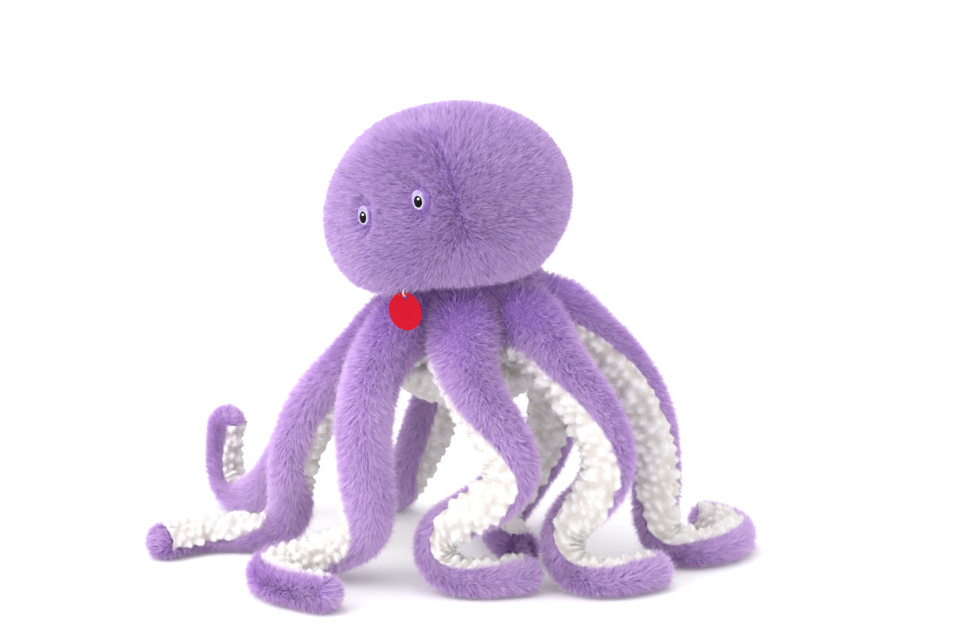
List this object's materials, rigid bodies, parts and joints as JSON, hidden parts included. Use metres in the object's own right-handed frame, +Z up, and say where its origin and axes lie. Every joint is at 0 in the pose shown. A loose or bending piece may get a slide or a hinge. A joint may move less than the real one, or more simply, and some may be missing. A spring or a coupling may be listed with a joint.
{
  "type": "plush octopus",
  "caption": "Soft long-pile octopus toy with a big round head and curling arms whose bobbly white undersides face inward; it stands on its feet and the arms bend at their roots.",
  "frame": {"origin": "on the floor, under the middle of the toy's whole spread", "axes": "+Z up, the face looks along -Y, +X to the toy's own left"},
  "size_m": [0.5509, 0.3995, 0.4474],
  "materials": {
    "purple_fur": "long soft pile",
    "white_fleece": "bobbly fleece",
    "fibre_filling": "loose fibre",
    "lilac_patch": "glitter felt",
    "black_pupil": "satin stitch",
    "red_tag": "smooth card",
    "white_loop": "thin moulded loop"
  },
  "bodies": {
    "body": {"body_fur": "purple_fur", "belly_underside": "white_fleece", "body_filling": "fibre_filling"},
    "arm_1": {"arm_1_fur": "purple_fur", "arm_1_underside": "white_fleece", "arm_1_filling": "fibre_filling"},
    "arm_2": {"arm_2_fur": "purple_fur", "arm_2_underside": "white_fleece", "arm_2_filling": "fibre_filling"},
    "arm_3": {"arm_3_fur": "purple_fur", "arm_3_underside": "white_fleece", "arm_3_filling": "fibre_filling"},
    "arm_4": {"arm_4_fur": "purple_fur", "arm_4_underside": "white_fleece", "arm_4_filling": "fibre_filling"},
    "arm_5": {"arm_5_fur": "purple_fur", "arm_5_underside": "white_fleece", "arm_5_filling": "fibre_filling"},
    "arm_6": {"arm_6_fur": "purple_fur", "arm_6_underside": "white_fleece", "arm_6_filling": "fibre_filling"},
    "arm_7": {"arm_7_fur": "purple_fur", "arm_7_underside": "white_fleece", "arm_7_filling": "fibre_filling"},
    "arm_8": {"arm_8_fur": "purple_fur", "arm_8_underside": "white_fleece", "arm_8_filling": "fibre_filling"},
    "head": {"face_fur": "purple_fur", "mantle_fur": "purple_fur", "head_filling": "fibre_filling", "eye_patch_right": "lilac_patch", "eye_patch_left": "lilac_patch", "pupil_right": "black_pupil", "pupil_left": "black_pupil", "tag_loop": "white_loop"},
    "tag": {"tag": "red_tag"}
  },
  "joints": [
    {"name": "arm_1_root", "type": "hinge", "parent": "body", "child": "arm_1", "pos_m": [0.05933, -0.02969, 0.236], "axis": [0.9239, 0.3827, 0], "range_deg": [-8, 4], "stiffness_Nm_per_rad": 5},
    {"name": "arm_2_root", "type": "hinge", "parent": "body", "child": "arm_2", "pos_m": [0.08639, -0.00263, 0.236], "axis": [0.3827, 0.9239, 0], "range_deg": [-15, 4], "stiffness_Nm_per_rad": 5},
    {"name": "arm_3_root", "type": "hinge", "parent": "body", "child": "arm_3", "pos_m": [0.08639, 0.03563, 0.236], "axis": [-0.3827, 0.9239, 0], "range_deg": [-12, 4], "stiffness_Nm_per_rad": 5},
    {"name": "arm_4_root", "type": "hinge", "parent": "body", "child": "arm_4", "pos_m": [0.05933, 0.06269, 0.236], "axis": [-0.9239, 0.3827, 0], "range_deg": [-20, 4], "stiffness_Nm_per_rad": 5},
    {"name": "arm_5_root", "type": "hinge", "parent": "body", "child": "arm_5", "pos_m": [0.02107, 0.06269, 0.236], "axis": [-0.9239, -0.3827, 0], "range_deg": [-20, 4], "stiffness_Nm_per_rad": 5},
    {"name": "arm_6_root", "type": "hinge", "parent": "body", "child": "arm_6", "pos_m": [-0.00599, 0.03563, 0.236], "axis": [-0.3827, -0.9239, 0], "range_deg": [-20, 4], "stiffness_Nm_per_rad": 5},
    {"name": "arm_7_root", "type": "hinge", "parent": "body", "child": "arm_7", "pos_m": [-0.00599, -0.00263, 0.236], "axis": [0.3827, -0.9239, 0], "range_deg": [-15, 4], "stiffness_Nm_per_rad": 5},
    {"name": "arm_8_root", "type": "hinge", "parent": "body", "child": "arm_8", "pos_m": [0.02107, -0.02969, 0.236], "axis": [0.9239, -0.3827, 0], "range_deg": [-8, 4], "stiffness_Nm_per_rad": 5},
    {"name": "head_nod", "type": "hinge", "parent": "body", "child": "head", "pos_m": [0.0402, 0.0165, 0.236], "axis": [1, 0, 0], "range_deg": [-8, 3], "stiffness_Nm_per_rad": 8},
    {"name": "tag_swing", "type": "hinge", "parent": "head", "child": "tag", "pos_m": [0.0447, -0.111, 0.28636], "axis": [1, 0, 0], "range_deg": [-15, 20]}
  ]
}
